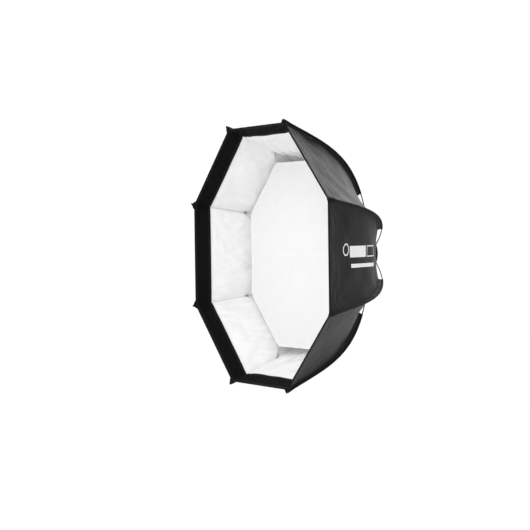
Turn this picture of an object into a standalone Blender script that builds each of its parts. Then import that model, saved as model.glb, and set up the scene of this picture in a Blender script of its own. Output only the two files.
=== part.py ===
"""Studio octagonal softbox, 120 cm corner to corner, on a turning speed ring with a three-lug bayonet.

Units are metres and +Z is up. The origin is on the axis, on the flat seat that meets the flash head.
The softbox opens towards -Y, and the flash head is on the +Y side. A rib profile is a list of
(radius, y) points in the plane that holds the axis and one rib.
"""

import math

import bmesh
import bpy
from mathutils import Vector

# ---- Shell ----
SIDES = 8
RIM_CORNER_R = 0.600  # centre to corner of the front rim
RIM_TO_SEAT = 0.580  # front rim plane to the seat on the flash head
REAR_OPENING_R = 0.178  # centre to corner of the hole in the back of the shell
SHELL_WALL = 0.0016  # nylon and its lining
SEAM_GAP = 0.0004  # between neighbouring panels
GAP = 0.0003  # between pieces that touch

# ---- Ribs ----
ROD_R = 0.0025
ROD_FRONT_ANGLE = math.radians(23.5)  # lean of the rod from the axis, at the rim
ROD_RING_ANGLE = math.radians(20.0)  # lean of the rod from the ring's plane, at its socket
ROD_FRONT_FULLNESS = 0.37  # length of the curve's front handle over the rod's chord
ROD_RING_FULLNESS = 0.55
ROD_AHEAD_OF_RIM = 0.012
STANDOFF_FRONT = 0.007  # centre of the rod to the seam, at the rim
STANDOFF_REAR = 0.018  # the same at the back end of the sleeve
SLEEVE_WALL = 0.0009
SLEEVE_END_R = 0.285  # radius at which the sleeve ends and the bare rod goes on
SLEEVE_PARTS = 11
FIN_HALF_THICKNESS = 0.0008

# ---- Rod tips and corner pockets ----
CAP_WALL = 0.0007
CAP_LENGTH = 0.018
CAP_BASE = 0.004  # solid end of the cap, ahead of the rod
POCKET_WALL = 0.0012
POCKET_LENGTH = 0.042  # from the rod's tip back along the rod
POCKET_AHEAD = 0.007  # front wall of the pocket, ahead of the rod's tip
POCKET_SIDE = 0.0022  # widest part of the pocket, beyond the cap's bore
POCKET_TOP_HALF_WIDTH = 0.0035

# ---- Trim ----
LIP_WIDTH = 0.064
LIP_WALL = 0.0015
RIM_BEAD = 0.003
REAR_BEAD = 0.006

# ---- Inner diffuser ----
DIFFUSER_DEPTH = 0.212  # behind the front rim plane
DIFFUSER_WALL = 0.0015
DIFFUSER_SIDE_R = 0.407  # centre to the diffuser's level and upright sides
DIFFUSER_DIAGONAL_R = 0.420  # the same for its sloping sides
HANGER_WIDTH = 0.008
HANGER_WALL = 0.0012
HOOK_LENGTH = 0.016
HOOK_WIDTH = 0.011
HOOK_WALL = 0.004
HOOK_FROM_SEAM = 0.0064  # strap left between the hook and the seam
HOOK_SHOULDER = 0.0016  # taper between the strap and the hook

# ---- Speed ring ----
TURNED_STEPS = 48
BARREL_R = 0.0485  # bayonet barrel, outside
BARREL_WALL = 0.004
BARREL_LENGTH = 0.016  # reach into the flash head
JOURNAL_WALL = 0.009  # from the barrel out to the journal that the speed ring turns on
RING_WALL = 0.0182  # speed ring, bore to outside
RING_WIDTH = 0.030
RING_CHAMFER = 0.002
SOCKET_FLOOR = 0.004  # metal left between a rod's end and the ring's bore
SEAT_LAP = 0.0125  # seat and retaining ring, beyond the journal
SEAT_THICKNESS = 0.004
LUGS = 3
LUG_HEIGHT = 0.0035
LUG_WIDTH = 0.0035
LUG_SPAN = math.radians(36.0)
LUG_FROM_SEAT = 0.009
RETAINER_LAP = 0.0085
RETAINER_THICKNESS = 0.003
RETAINER_SCREWS = 3
RETAINER_SCREW_R = 0.0015
RETAINER_SCREW_LENGTH = 0.009
RETAINER_HEAD_R = 0.0028
RETAINER_HEAD_HEIGHT = 0.0018
RETAINER_HEAD_TOP_R = 0.00224

# ---- Lock screw ----
LOCK_SCREW_R = 0.003
LOCK_ANGLE = math.radians(180.0)
KNOB_R = 0.011
KNOB_LENGTH = 0.013
KNOB_LOBES = 8
KNOB_FLUTE = 0.0016
KNOB_STANDOFF = 0.006  # from the ring to the knob, with the screw tight
KNOB_BORE_DEPTH = 0.009

MERGE_DISTANCE = 1e-5  # points of a turned shape closer than this are one
CUTTER_OVERRUN = 0.003  # length of a cutter beyond the wall it cuts

PITCH = math.tau / SIDES
MITRE = math.cos(PITCH / 2)  # flat-to-centre over corner-to-centre
CAP_R = ROD_R + GAP + CAP_WALL
POCKET_HALF_WIDTH = CAP_R + GAP + POCKET_SIDE
JOURNAL_R = BARREL_R + JOURNAL_WALL
RING_BORE_R = JOURNAL_R + GAP
RING_R = RING_BORE_R + RING_WALL
SOCKET_DEPTH = (RING_WALL - SOCKET_FLOOR) / math.cos(ROD_RING_ANGLE)
SEAT_R = JOURNAL_R + SEAT_LAP
RETAINER_R = JOURNAL_R + RETAINER_LAP
RING_REAR_Y = -SEAT_THICKNESS - GAP
RING_FRONT_Y = RING_REAR_Y - RING_WIDTH
RING_MID_Y = RING_REAR_Y - RING_WIDTH / 2
JOURNAL_FRONT_Y = RING_FRONT_Y - GAP
RETAINER_REAR_Y = JOURNAL_FRONT_Y - GAP
RETAINER_FRONT_Y = RETAINER_REAR_Y - RETAINER_THICKNESS
RETAINER_SCREW_CIRCLE_R = (BARREL_R + JOURNAL_R) / 2


# ---- Scene helpers ----
def clear_scene():
    for obj in list(bpy.data.objects):
        bpy.data.objects.remove(obj, do_unlink=True)


def new_collection(name):
    found = bpy.data.collections.new(name)
    bpy.context.scene.collection.children.link(found)
    return found


def material(name, colour, roughness, metallic=0.0):
    made = bpy.data.materials.new(name)
    made.use_nodes = True
    shader = made.node_tree.nodes["Principled BSDF"]
    shader.inputs["Base Color"].default_value = (*colour, 1.0)
    shader.inputs["Roughness"].default_value = roughness
    shader.inputs["Metallic"].default_value = metallic
    made.diffuse_color = (*colour, 1.0)
    return made


def empty(name, location):
    made = bpy.data.objects.new(name, None)
    made.location = location
    made.empty_display_size = 0.05
    parts.objects.link(made)
    return made


def place(name, data, finish, parent=None, angle=0.0, collection=None):
    """An object turned about the softbox axis, from +X towards +Z, by the angle."""
    made = bpy.data.objects.new(name, data)
    made.rotation_euler = (0.0, -angle, 0.0)
    (collection or parts).objects.link(made)
    if finish:
        data.materials.clear()
        data.materials.append(finish)
    if parent:
        made.parent = parent
        made.matrix_parent_inverse = axis_shift(parent)
    return made


def axis_shift(parent):
    """Undoes the parent's place, so that a child keeps coordinates measured from the origin."""
    bpy.context.view_layer.update()
    return parent.matrix_world.inverted()


def as_cutter(obj):
    obj.hide_render = True
    obj.display_type = "WIRE"
    return obj


def boolean(obj, operation, others):
    for other in others:
        cut = obj.modifiers.new(f"{operation.lower()} {other.name}", "BOOLEAN")
        cut.operation = operation
        cut.solver = "EXACT"
        cut.object = other


# ---- Shape helpers ----
def loft(sections):
    """A closed mesh through sections of equal length, each a loop of points."""
    bm = bmesh.new()
    rows = [[bm.verts.new(point) for point in section] for section in sections]
    count = len(rows[0])
    for near, far in zip(rows, rows[1:]):
        for i in range(count):
            j = (i + 1) % count
            bm.faces.new((near[i], near[j], far[j], far[i]))
    bm.faces.new(rows[0])
    bm.faces.new(rows[-1])
    return finished(bm)


def loft_tube(outer, inner):
    """A closed mesh between two nested lofts, open at both ends of the inner one."""
    bm = bmesh.new()
    skins = [[[bm.verts.new(point) for point in section] for section in rows] for rows in (outer, inner)]
    count = len(outer[0])
    for i in range(count):
        j = (i + 1) % count
        for rows in skins:
            for near, far in zip(rows, rows[1:]):
                bm.faces.new((near[i], near[j], far[j], far[i]))
        for end in (0, -1):
            a, b = skins[0][end], skins[1][end]
            bm.faces.new((a[i], a[j], b[j], b[i]))
    return finished(bm)


def finished(bm):
    """The mesh of a closed shape, with its faces pointing out."""
    bmesh.ops.recalc_face_normals(bm, faces=bm.faces)
    if bm.calc_volume(signed=True) < 0.0:
        bmesh.ops.reverse_faces(bm, faces=bm.faces)
    mesh = bpy.data.meshes.new("shape")
    bm.to_mesh(mesh)
    bm.free()
    return mesh


def turned(name, profile, steps, finish, parent=None, angle=0.0, collection=None):
    """A closed (radius, y) profile turned round the Y axis."""
    bm = bmesh.new()
    points = [bm.verts.new((radius, y, 0.0)) for radius, y in profile]
    for a, b in zip(points, points[1:] + points[:1]):
        bm.edges.new((a, b))
    mesh = bpy.data.meshes.new(name)
    bm.to_mesh(mesh)
    bm.free()
    made = place(name, mesh, finish, parent, angle, collection)
    screw = made.modifiers.new("turn", "SCREW")
    screw.axis = "Y"
    screw.angle = math.tau
    screw.steps = screw.render_steps = steps
    screw.use_merge_vertices = True
    screw.merge_threshold = MERGE_DISTANCE
    screw.use_smooth_shade = False
    return made


def cylinder(radius, low, high, sides=16, flute=0.0):
    """A cylinder along +X from low to high. A flute pulls in every second pair of its sides."""
    bm = bmesh.new()
    ends = {"radius1": radius, "radius2": radius, "depth": high - low}
    bmesh.ops.create_cone(bm, cap_ends=True, segments=sides, **ends)
    if flute:
        for vertex in bm.verts:
            turn = math.atan2(vertex.co.y, vertex.co.x) % math.tau
            if round(turn / math.tau * sides) % 4 < 2:
                vertex.co.xy *= 1.0 - flute / radius
    for vertex in bm.verts:
        across, up, along = vertex.co
        vertex.co = (along + (low + high) / 2, up, -across)
    return finished(bm)


# ---- Rib curve ----
def rod_ends():
    lean = Vector((-math.sin(ROD_FRONT_ANGLE), math.cos(ROD_FRONT_ANGLE)))
    out = Vector((lean.y, -lean.x))
    tip = Vector((RIM_CORNER_R, -RIM_TO_SEAT)) + STANDOFF_FRONT * out - ROD_AHEAD_OF_RIM * lean
    reach = Vector((math.cos(ROD_RING_ANGLE), -math.sin(ROD_RING_ANGLE)))
    root = Vector((RING_R, RING_MID_Y)) - SOCKET_DEPTH * reach
    return tip, lean, root, reach


def rod_curve(t):
    """Point on the rod's centre line, from its tip at 0 to the bottom of its socket at 1."""
    tip, lean, root, reach = rod_ends()
    chord = (tip - root).length
    front = tip + ROD_FRONT_FULLNESS * chord * lean
    back = root + ROD_RING_FULLNESS * chord * reach
    u = 1.0 - t
    return u**3 * tip + 3 * u * u * t * front + 3 * u * t * t * back + t**3 * root


def rod_normal(t):
    """Unit vector in the rib's plane, square to the rod and away from the axis."""
    step = 1e-4
    along = (rod_curve(t + step) - rod_curve(t - step)).normalized()
    return Vector((along.y, -along.x))


def where(measure, target):
    """The curve parameter at which a measure, which falls or rises steadily, reaches the target."""
    low, high = 0.0, 1.0
    rising = measure(high) > measure(low)
    for _ in range(50):
        middle = (low + high) / 2
        if (measure(middle) < target) == rising:
            low = middle
        else:
            high = middle
    return (low + high) / 2


def along_rod(distance):
    """The curve parameter at a distance from the rod's tip."""
    steps = 400
    travelled = 0.0
    last = rod_curve(0.0)
    for i in range(1, steps + 1):
        point = rod_curve(i / steps)
        travelled += (point - last).length
        if travelled >= distance:
            return (i - (travelled - distance) / (point - last).length) / steps
        last = point
    return 1.0


def standoff(t):
    share = min(max((t - SLEEVE_T0) / (SLEEVE_T1 - SLEEVE_T0), 0.0), 1.0)
    return STANDOFF_FRONT + (STANDOFF_REAR - STANDOFF_FRONT) * share * share * (3.0 - 2.0 * share)


def seam(t):
    """Outside of the shell in the rib's plane, under the rod at t."""
    return rod_curve(t) - standoff(t) * rod_normal(t)


def spread(low, high, parts_between):
    return [low + (high - low) * i / parts_between for i in range(parts_between + 1)]


POCKET_T1 = along_rod(POCKET_LENGTH)
SLEEVE_T0 = along_rod(POCKET_LENGTH + GAP)
SLEEVE_T1 = where(lambda t: rod_curve(t).x, SLEEVE_END_R)
RIM_T = where(lambda t: seam(t).y, -RIM_TO_SEAT)
REAR_T = where(lambda t: seam(t).x, REAR_OPENING_R)
MOUTH_T = where(lambda t: rod_curve(t).x, RING_R)
DIFFUSER_T = where(lambda t: seam(t).y, DIFFUSER_DEPTH - RIM_TO_SEAT)
SLEEVE_STATIONS = spread(SLEEVE_T0, SLEEVE_T1, SLEEVE_PARTS)
SHELL_STATIONS = [RIM_T] + SLEEVE_STATIONS + spread(SLEEVE_T1, REAR_T, 2)[1:]
ROD_STATIONS = [0.0] + SHELL_STATIONS + spread(REAR_T, MOUTH_T, 2)[1:] + [1.0]


def shell_point(t, inward):
    """The shell's corner in the rib's plane at t, moved inward by a distance square to the panel."""
    step = 1e-3
    before, after = seam(t - step), seam(t + step)
    along = Vector(((after.x - before.x) * MITRE, after.y - before.y)).normalized()
    flat = Vector((seam(t).x * MITRE, seam(t).y)) - inward * Vector((along.y, -along.x))
    return Vector((flat.x / MITRE, flat.y))


# ---- Shell pieces ----
def panel_mesh():
    """One side of the shell, centred on +X, mitred to its neighbours."""

    def row(t):
        points = []
        for inward, side in ((0.0, -1), (0.0, 1), (SHELL_WALL, 1), (SHELL_WALL, -1)):
            corner = shell_point(t, inward)
            across = corner.x * math.sin(PITCH / 2) - SEAM_GAP / 2
            points.append((corner.x * MITRE, corner.y, side * across))
        return points

    return loft([row(t) for t in SHELL_STATIONS])


def rim_lip():
    """The bound rim and the hook-and-loop band behind it, inside the shell."""
    inner = SHELL_WALL + GAP
    band_end = where(lambda t: seam(t).y, LIP_WIDTH - RIM_TO_SEAT)
    stations = [RIM_T, SLEEVE_STATIONS[0], (SLEEVE_STATIONS[0] + band_end) / 2, band_end]
    ahead = along_ahead(RIM_BEAD)
    gap_ahead = along_ahead(GAP)
    return (
        [shell_point(t, inner) for t in stations[::-1]]
        + [shell_point(RIM_T, inner) + gap_ahead, shell_point(RIM_T, 0.0) + gap_ahead]
        + [shell_point(RIM_T, 0.0) + ahead, shell_point(RIM_T, inner + LIP_WALL) + ahead]
        + [shell_point(t, inner + LIP_WALL) for t in stations]
    )


def along_ahead(distance):
    """A step forward from the rim, along the seam."""
    back = (seam(RIM_T + 1e-3) - seam(RIM_T)).normalized()
    return -distance * back


def rear_bead():
    """The bound edge of the rear opening, just inside the panels' ends."""
    back = (seam(REAR_T) - seam(REAR_T - 1e-3)).normalized()
    outer, inner = shell_point(REAR_T, -GAP), shell_point(REAR_T, SHELL_WALL + GAP)
    corners = ((outer, GAP), (inner, GAP), (inner, REAR_BEAD), (outer, REAR_BEAD))
    return [point + step * back for point, step in corners]


# ---- Rib pieces ----
def rib_section(t, outline):
    """Points of an (out, across) outline about the rod at t, in the rib's frame."""
    centre, out = rod_curve(t), rod_normal(t)
    return [(*(centre + q * out), w) for q, w in outline]


def arc(radius, half_angle, count):
    """Points (out, across) round the rod, from one side over the outside to the other."""
    angles = spread(-half_angle, half_angle, count)
    return [(radius * math.cos(a), radius * math.sin(a)) for a in angles]


def sleeve_mesh():
    """A fabric channel round the rod, and the sewn fin that joins it to the seam."""
    channel = ROD_R + GAP
    wrap = math.radians(125.0)

    def outer(t):
        foot = GAP - standoff(t)
        loop = arc(channel + SLEEVE_WALL, wrap, 6)
        return rib_section(t, [(foot, -FIN_HALF_THICKNESS)] + loop + [(foot, FIN_HALF_THICKNESS)])

    def inner(t):
        loop = arc(channel, wrap, 6)
        back = -channel
        half = FIN_HALF_THICKNESS / 2
        return rib_section(t, [(back, -half)] + loop + [(back, half)])

    return loft_tube([outer(t) for t in SLEEVE_STATIONS], [inner(t) for t in SLEEVE_STATIONS])


def pocket_outline():
    """Saddle section that sits on the two panels of a corner."""
    base = -STANDOFF_FRONT + GAP
    drop = POCKET_HALF_WIDTH * math.tan(PITCH / 2) * math.cos(ROD_FRONT_ANGLE)
    top = CAP_R + GAP + POCKET_WALL
    half = [(top, POCKET_TOP_HALF_WIDTH), (0.0, POCKET_HALF_WIDTH), (base - drop, POCKET_HALF_WIDTH)]
    return half + [(base, 0.0)] + [(q, -w) for q, w in half[::-1]]


def tip_frame():
    """The rod's tip, the direction forward along the rod there, and the direction outward."""
    tip = rod_curve(0.0)
    forward = (rod_curve(0.0) - rod_curve(1e-3)).normalized()
    return tip, forward, rod_normal(0.0)


def pocket_mesh():
    """The corner pocket, before its hollow is cut. It closes ahead of the rod's tip."""
    tip, forward, out = tip_frame()
    outline = pocket_outline()
    front = tip + POCKET_AHEAD * forward
    nose = [(*(front + q * out), w) for q, w in outline]
    stations = [0.0, RIM_T, POCKET_T1]
    return loft([nose] + [rib_section(t, outline) for t in stations])


def pocket_hollow():
    """A round bore for the cap and the rod, open at the back of the pocket."""
    tip, forward, out = tip_frame()
    radius = CAP_R + GAP
    ring = [(radius * math.cos(a), radius * math.sin(a)) for a in spread(0.0, math.tau, 12)[:-1]]
    front = tip + (CAP_BASE + GAP) * forward
    nose = [(*(front + q * out), w) for q, w in ring]
    stations = (0.0, RIM_T, SLEEVE_STATIONS[0], SLEEVE_STATIONS[1])
    return loft([nose] + [rib_section(t, ring) for t in stations])


def cap_profile():
    """Half section of the cap that closes the rod's end, from its nose, as (radius, distance back)."""
    bore = ROD_R + GAP
    round_off = CAP_R / 3
    return [
        (0.0, -CAP_BASE),
        (CAP_R - round_off, -CAP_BASE),
        (CAP_R, round_off - CAP_BASE),
        (CAP_R, CAP_LENGTH - CAP_BASE),
        (bore, CAP_LENGTH - CAP_BASE),
        (bore, -GAP),
        (0.0, -GAP),
    ]


def cap_mesh():
    """The cap, turned about the rod's first stretch."""
    tip, forward, out = tip_frame()
    sides = 12
    bm = bmesh.new()
    rows = []
    for radius, back in cap_profile():
        centre = tip - back * forward
        if radius == 0.0:
            rows.append([bm.verts.new((*centre, 0.0))])
            continue
        ring = [(radius * math.cos(a), radius * math.sin(a)) for a in spread(0.0, math.tau, sides)[:-1]]
        rows.append([bm.verts.new((*(centre + q * out), w)) for q, w in ring])
    for near, far in zip(rows, rows[1:]):
        for i in range(sides):
            j = (i + 1) % sides
            corners = (near[i % len(near)], near[j % len(near)], far[j % len(far)], far[i % len(far)])
            bm.faces.new(dict.fromkeys(corners))
    return finished(bm)


def rod_data():
    """The sprung rod, one smooth bend from the rim to its socket."""
    curve = bpy.data.curves.new("rod", "CURVE")
    curve.dimensions = "3D"
    curve.bevel_depth = ROD_R
    curve.bevel_resolution = 2
    curve.use_fill_caps = True
    spline = curve.splines.new("POLY")
    spline.points.add(len(ROD_STATIONS) - 1)
    for point, t in zip(spline.points, ROD_STATIONS):
        point.co = (*rod_curve(t), 0.0, 1.0)
    return curve


# ---- Inner diffuser ----
def diffuser_corner(side):
    """The diffuser's corner in a rib's frame, as (radius, across). The side comes from rib_side."""
    reach = (DIFFUSER_SIDE_R + DIFFUSER_DIAGONAL_R) / (2 * math.cos(PITCH / 2))
    return reach, side * (DIFFUSER_DIAGONAL_R - DIFFUSER_SIDE_R) / (2 * math.sin(PITCH / 2))


def hanger_mesh(side):
    """An elastic strap and the hook at its outer end, from the diffuser's corner to the shell's seam."""
    corner, aside = diffuser_corner(side)
    y = DIFFUSER_DEPTH - RIM_TO_SEAT
    rise = seam(DIFFUSER_T + 1e-3) - seam(DIFFUSER_T)
    slope = abs(rise.x / rise.y)
    end = shell_point(DIFFUSER_T, SHELL_WALL).x - 2 * GAP - slope * HOOK_WALL
    strap, hook = (HANGER_WIDTH / 2, HANGER_WALL / 2), (HOOK_WIDTH / 2, HOOK_WALL / 2)
    stations = [
        (corner + GAP, strap),
        (end - HOOK_FROM_SEAM - HOOK_SHOULDER - HOOK_LENGTH, strap),
        (end - HOOK_FROM_SEAM - HOOK_LENGTH, hook),
        (end - HOOK_FROM_SEAM - HOOK_SHOULDER, hook),
        (end - HOOK_FROM_SEAM, strap),
        (end, strap),
    ]
    sections = []
    for x, (half, wall) in stations:
        middle = aside * (end - x) / (end - corner)
        corners = ((-1, -1), (1, -1), (1, 1), (-1, 1))
        sections.append([(x, y + b * wall, middle + a * half) for a, b in corners])
    return loft(sections)


def diffuser_mesh():
    y = DIFFUSER_DEPTH - RIM_TO_SEAT
    corners = []
    for k in range(SIDES):
        reach, aside = diffuser_corner(rib_side(k))
        angle = PITCH * (k + 0.5) + math.atan2(aside, reach)
        radius = math.hypot(reach, aside)
        corners.append((radius * math.cos(angle), radius * math.sin(angle)))
    faces = [y - DIFFUSER_WALL / 2, y + DIFFUSER_WALL / 2]
    return loft([[(x, level, z) for x, z in corners] for level in faces])


def rib_side(k):
    """Which way the diffuser's corner leans from rib k, as 1 or -1."""
    return 1 if k % 2 == 0 else -1


# ---- Speed ring pieces ----
def bayonet_profile():
    bore = BARREL_R - BARREL_WALL
    return [
        (bore, JOURNAL_FRONT_Y),
        (bore, BARREL_LENGTH),
        (BARREL_R, BARREL_LENGTH),
        (BARREL_R, 0.0),
        (SEAT_R, 0.0),
        (SEAT_R, -SEAT_THICKNESS),
        (JOURNAL_R, -SEAT_THICKNESS),
        (JOURNAL_R, JOURNAL_FRONT_Y),
    ]


def speed_ring_profile():
    return [
        (RING_BORE_R, RING_FRONT_Y),
        (RING_BORE_R, RING_REAR_Y),
        (RING_R - RING_CHAMFER, RING_REAR_Y),
        (RING_R, RING_REAR_Y - RING_CHAMFER),
        (RING_R, RING_FRONT_Y + RING_CHAMFER),
        (RING_R - RING_CHAMFER, RING_FRONT_Y),
    ]


def retainer_profile():
    bore = BARREL_R - BARREL_WALL
    return [
        (bore, RETAINER_FRONT_Y),
        (bore, RETAINER_REAR_Y),
        (RETAINER_R, RETAINER_REAR_Y),
        (RETAINER_R, RETAINER_FRONT_Y),
    ]


def lug_mesh():
    """One bayonet lug, an arc centred on +X, rooted in the barrel's wall."""
    low, high = BARREL_R - BARREL_WALL / 2, BARREL_R + LUG_HEIGHT
    near, far = LUG_FROM_SEAT, LUG_FROM_SEAT + LUG_WIDTH
    sections = []
    for a in spread(-LUG_SPAN / 2, LUG_SPAN / 2, 5):
        corners = ((low, near), (high, near), (high, far), (low, far))
        sections.append([(r * math.cos(a), y, r * math.sin(a)) for r, y in corners])
    return loft(sections)


def along_y(mesh, x):
    """Turns a mesh that runs along +X to run along +Y, beside the axis at x."""
    for vertex in mesh.vertices:
        along, up, across = vertex.co
        vertex.co = (x + up, along, across)
    mesh.flip_normals()
    return mesh


def retainer_screw_mesh():
    """A pan-head screw along the axis, its head in front of the retaining ring."""
    head = RETAINER_FRONT_Y - GAP
    stations = (
        (head - RETAINER_HEAD_HEIGHT, RETAINER_HEAD_TOP_R),
        (head - RETAINER_HEAD_HEIGHT / 2, RETAINER_HEAD_R),
        (head, RETAINER_HEAD_R),
        (head + MERGE_DISTANCE, RETAINER_SCREW_R),
        (head + RETAINER_SCREW_LENGTH, RETAINER_SCREW_R),
    )
    angles = spread(0.0, math.tau, 10)[:-1]
    x = RETAINER_SCREW_CIRCLE_R
    return loft([[(x + r * math.cos(a), y, r * math.sin(a)) for a in angles] for y, r in stations])


# ---- Assembly ----
def build_ribs(turning):
    rod, cap, sleeve = rod_data(), cap_mesh(), sleeve_mesh()
    pocket, hollow = pocket_mesh(), pocket_hollow()
    hangers = {side: hanger_mesh(side) for side in (1, -1)}
    for k in range(SIDES):
        angle = PITCH * (k + 0.5)
        number = k + 1
        place(f"rod_{number}", rod, steel, turning, angle)
        place(f"rod_cap_{number}", cap, rubber, turning, angle)
        place(f"rod_sleeve_{number}", sleeve, nylon, turning, angle)
        place(f"diffuser_hanger_{number}", hangers[rib_side(k)], elastic, turning, angle)
        holder = place(f"corner_pocket_{number}", pocket, nylon, turning, angle)
        bore = place(f"pocket_bore_{number}", hollow, None, turning, angle, cutters)
        boolean(holder, "DIFFERENCE", [as_cutter(bore)])


def build_shell(turning):
    panel = panel_mesh()
    for k in range(SIDES):
        place(f"outer_panel_{k + 1}", panel, nylon, turning, PITCH * k)
    turned("front_lip", rim_lip(), SIDES, hook_and_loop, turning, PITCH / 2)
    turned("rear_binding", rear_bead(), SIDES, webbing, turning, PITCH / 2)
    place("inner_diffuser", diffuser_mesh(), diffuser_cloth, turning)


def build_speed_ring(turning):
    ring = turned("speed_ring", speed_ring_profile(), TURNED_STEPS, black_metal, turning)
    cuts = []
    socket = socket_mesh()
    for k in range(SIDES):
        cuts.append(place(f"rod_socket_{k + 1}", socket, None, turning, PITCH * (k + 0.5), cutters))
    thread = cylinder(LOCK_SCREW_R + GAP, JOURNAL_R - CUTTER_OVERRUN, RING_R + CUTTER_OVERRUN)
    cuts.append(place("lock_thread", lifted(thread), None, turning, LOCK_ANGLE, cutters))
    boolean(ring, "DIFFERENCE", [as_cutter(cut) for cut in cuts])


def socket_mesh():
    """The bore that a rod's end plugs into, from outside the ring to the rod's end."""
    _, _, root, reach = rod_ends()
    out = Vector((-reach.y, reach.x))
    radius = ROD_R + GAP
    ring = [(radius * math.cos(a), radius * math.sin(a)) for a in spread(0.0, math.tau, 12)[:-1]]
    ends = (root - GAP * reach, root + (SOCKET_DEPTH + radius * 2) * reach)
    return loft([[(*(end + q * out), w) for q, w in ring] for end in ends])


def lifted(mesh):
    """Moves a radial mesh from the origin's plane to the middle of the speed ring."""
    for vertex in mesh.vertices:
        vertex.co.y += RING_MID_Y
    return mesh


def build_bayonet():
    ring = turned("bayonet_ring", bayonet_profile(), TURNED_STEPS, steel)
    lugs = []
    lug = lug_mesh()
    for k in range(LUGS):
        angle = math.tau * k / LUGS + math.tau / 4
        lugs.append(as_cutter(place(f"bayonet_lug_{k + 1}", lug, None, None, angle, cutters)))
    boolean(ring, "UNION", lugs)
    retainer = turned("retaining_ring", retainer_profile(), TURNED_STEPS, black_metal)
    hole_front = RETAINER_FRONT_Y - CUTTER_OVERRUN
    hole_end = RETAINER_FRONT_Y + RETAINER_SCREW_LENGTH + GAP
    hole = along_y(cylinder(RETAINER_SCREW_R + GAP, hole_front, hole_end, 12), RETAINER_SCREW_CIRCLE_R)
    screw = retainer_screw_mesh()
    holes = []
    for k in range(RETAINER_SCREWS):
        angle = math.tau * k / RETAINER_SCREWS + math.tau / 12
        holes.append(as_cutter(place(f"retainer_hole_{k + 1}", hole, None, None, angle, cutters)))
        place(f"retainer_screw_{k + 1}", screw, steel, None, angle)
    boolean(ring, "DIFFERENCE", holes)
    boolean(retainer, "DIFFERENCE", holes)


def build_lock(turning):
    """A thumbscrew in the side of the speed ring: its point bears on the journal and stops the turn."""
    seat = Vector((math.cos(LOCK_ANGLE), 0.0, math.sin(LOCK_ANGLE))) * RING_R
    axis = empty("lock_screw_axis", (seat.x, RING_MID_Y, seat.z))
    axis.parent = turning
    axis.matrix_parent_inverse = axis_shift(turning)
    knob_start = RING_R + KNOB_STANDOFF
    tip = JOURNAL_R + GAP
    screw_end = knob_start + KNOB_BORE_DEPTH
    place("lock_screw", lifted(cylinder(LOCK_SCREW_R, tip, screw_end)), steel, axis, LOCK_ANGLE)
    grip = lifted(cylinder(KNOB_R, knob_start, knob_start + KNOB_LENGTH, 4 * KNOB_LOBES, KNOB_FLUTE))
    knob = place("lock_knob", grip, plastic, axis, LOCK_ANGLE)
    bore = lifted(cylinder(LOCK_SCREW_R + GAP, knob_start - KNOB_R, screw_end + GAP))
    boolean(knob, "DIFFERENCE", [as_cutter(place("knob_bore", bore, None, axis, LOCK_ANGLE, cutters))])


clear_scene()
parts = new_collection("studio_softbox")
cutters = new_collection("cutters")
nylon = material("black nylon", (0.03, 0.03, 0.032), 0.6)
webbing = material("black webbing", (0.02, 0.02, 0.02), 0.8)
hook_and_loop = material("hook and loop band", (0.015, 0.015, 0.016), 0.95)
diffuser_cloth = material("white diffuser cloth", (0.86, 0.87, 0.88), 0.8)
elastic = material("light grey elastic", (0.55, 0.55, 0.55), 0.85)
rubber = material("black rubber", (0.02, 0.02, 0.02), 0.7)
plastic = material("black plastic", (0.025, 0.025, 0.025), 0.45)
black_metal = material("black anodised aluminium", (0.04, 0.04, 0.042), 0.35, 1.0)
steel = material("steel", (0.55, 0.55, 0.56), 0.3, 1.0)

turn_axis = empty("softbox_turn_axis", (0.0, RING_MID_Y, 0.0))
build_bayonet()
build_speed_ring(turn_axis)
build_lock(turn_axis)
build_ribs(turn_axis)
build_shell(turn_axis)
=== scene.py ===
"""Looks of an eight-sided studio softbox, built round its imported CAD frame.

Units are metres and +Z is up. The softbox opens towards -Y, and its axis is the Y axis. A rib profile is
made of (radius, y) points in the plane that holds the axis and one rib. Panel k is centred on the angle
k * PITCH, measured from +X towards +Z, and rib k lies half a step further on.
"""

import math

import bmesh
import bpy
import numpy as np
from mathutils import Matrix, Vector


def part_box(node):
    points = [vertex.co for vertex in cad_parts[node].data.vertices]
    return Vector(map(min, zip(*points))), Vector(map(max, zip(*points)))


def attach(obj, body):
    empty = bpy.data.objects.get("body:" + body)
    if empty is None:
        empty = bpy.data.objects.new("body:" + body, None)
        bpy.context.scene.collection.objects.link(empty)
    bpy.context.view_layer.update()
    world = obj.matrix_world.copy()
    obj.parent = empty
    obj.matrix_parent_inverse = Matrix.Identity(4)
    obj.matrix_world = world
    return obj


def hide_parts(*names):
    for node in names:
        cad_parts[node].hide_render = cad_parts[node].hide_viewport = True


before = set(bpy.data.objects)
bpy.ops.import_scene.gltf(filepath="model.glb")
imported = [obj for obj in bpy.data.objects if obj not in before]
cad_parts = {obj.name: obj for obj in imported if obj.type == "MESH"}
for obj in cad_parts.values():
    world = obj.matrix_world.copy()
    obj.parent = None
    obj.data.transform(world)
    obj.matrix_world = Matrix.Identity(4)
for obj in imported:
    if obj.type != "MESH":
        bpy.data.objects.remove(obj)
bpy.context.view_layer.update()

# ---- Sizes shared with the CAD solids ----
SIDES = 8
RIM_CORNER_R = 0.600
RIM_TO_SEAT = 0.580
REAR_OPENING_R = 0.178
ROD_R = 0.0025
ROD_FRONT_ANGLE = math.radians(23.5)
ROD_RING_ANGLE = math.radians(20.0)
ROD_FRONT_FULLNESS = 0.37
ROD_RING_FULLNESS = 0.55
ROD_AHEAD_OF_RIM = 0.012
STANDOFF_FRONT = 0.007
STANDOFF_REAR = 0.018
SLEEVE_END_R = 0.285
POCKET_LENGTH = 0.042
POCKET_NOSE = 0.0048  # nose of a corner pocket, ahead of the rod's tip
POCKET_SKIRT = 0.019  # its reach onto the panel on each side
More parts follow.
